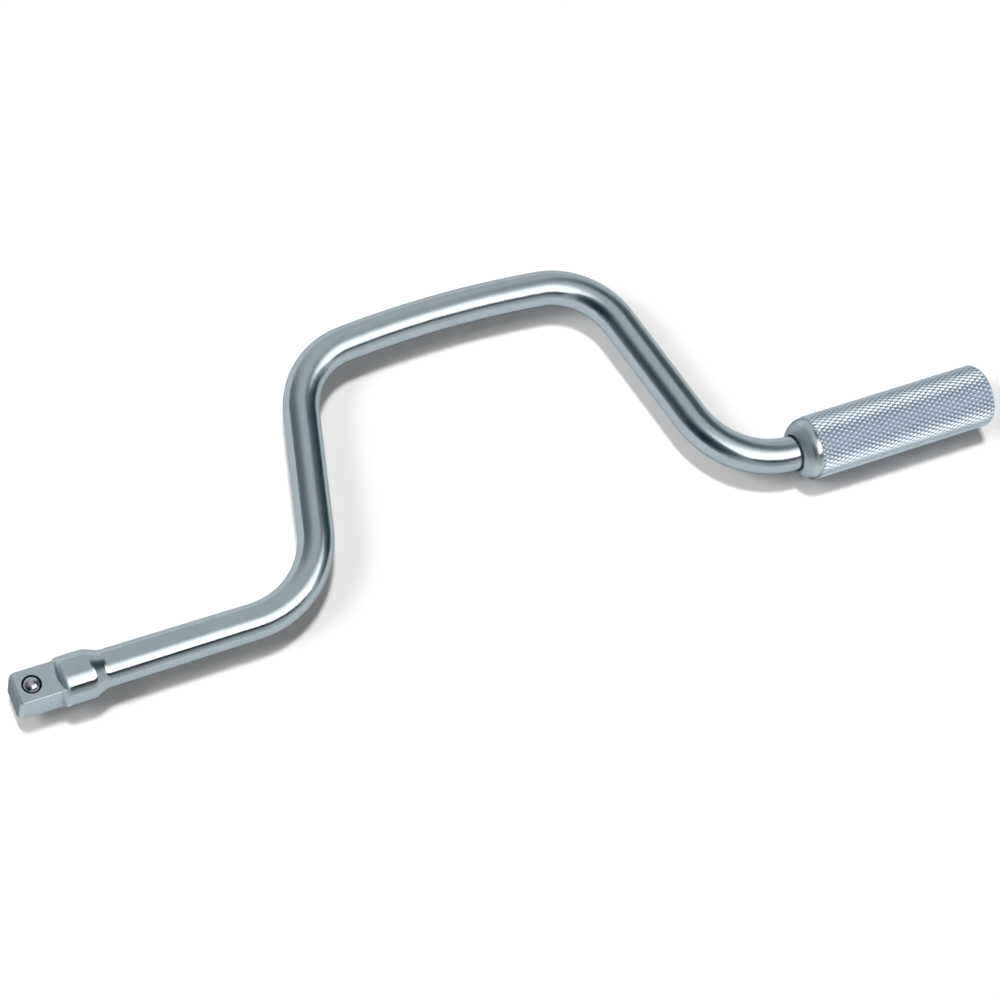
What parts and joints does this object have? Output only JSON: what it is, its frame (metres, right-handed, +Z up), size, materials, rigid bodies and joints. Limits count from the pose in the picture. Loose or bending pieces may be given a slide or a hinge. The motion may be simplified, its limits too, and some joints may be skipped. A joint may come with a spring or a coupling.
{
  "type": "speeder handle",
  "caption": "Cranked steel speeder handle: square drive with a spring ball, bowed bar and a knurled grip sleeve that spins freely, for running fasteners up by hand.",
  "frame": {"origin": "centre of the drive square's tip face, on the turning axis", "axes": "+X along the turning axis from the drive square to the grip, +Y towards the top of the bow, +Z square to the bow's plane, so that the tool lies flat with +Z up"},
  "size_m": [0.3937, 0.1122, 0.0246],
  "materials": {
    "satin_chrome": "satin bluish plating over forged steel",
    "knurled_chrome": "satin plating over a diamond knurl",
    "polished_ball": "polished bearing steel",
    "spring_steel": "drawn spring wire",
    "oiled_bronze": "oiled sintered bronze",
    "plug_chrome": "satin plating on a turned plug",
    "hardened_steel": "ground hardened steel",
    "blackened_steel": "blackened spring steel"
  },
  "bodies": {
    "crank": {"crank_rod": "satin_chrome", "detent_spring": "spring_steel", "thrust_washer": "hardened_steel", "retaining_ring": "blackened_steel"},
    "detent": {"detent_ball": "polished_ball"},
    "grip": {"grip_sleeve": "knurled_chrome", "front_bush": "oiled_bronze", "rear_bush": "oiled_bronze", "end_plug": "plug_chrome"}
  },
  "joints": [
    {"name": "grip_spin", "type": "hinge", "parent": "crank", "child": "grip", "pos_m": [0.31075, 0, 0], "axis": [1, 0, 0], "continuous": true},
    {"name": "ball_press", "type": "slide", "parent": "crank", "child": "detent", "axis": [0, -0.1392, -0.9903], "range_m": [0, 0.0017], "stiffness_N_per_m": 3000, "springref_m": -0.001, "deforming": ["detent_spring"]}
  ]
}
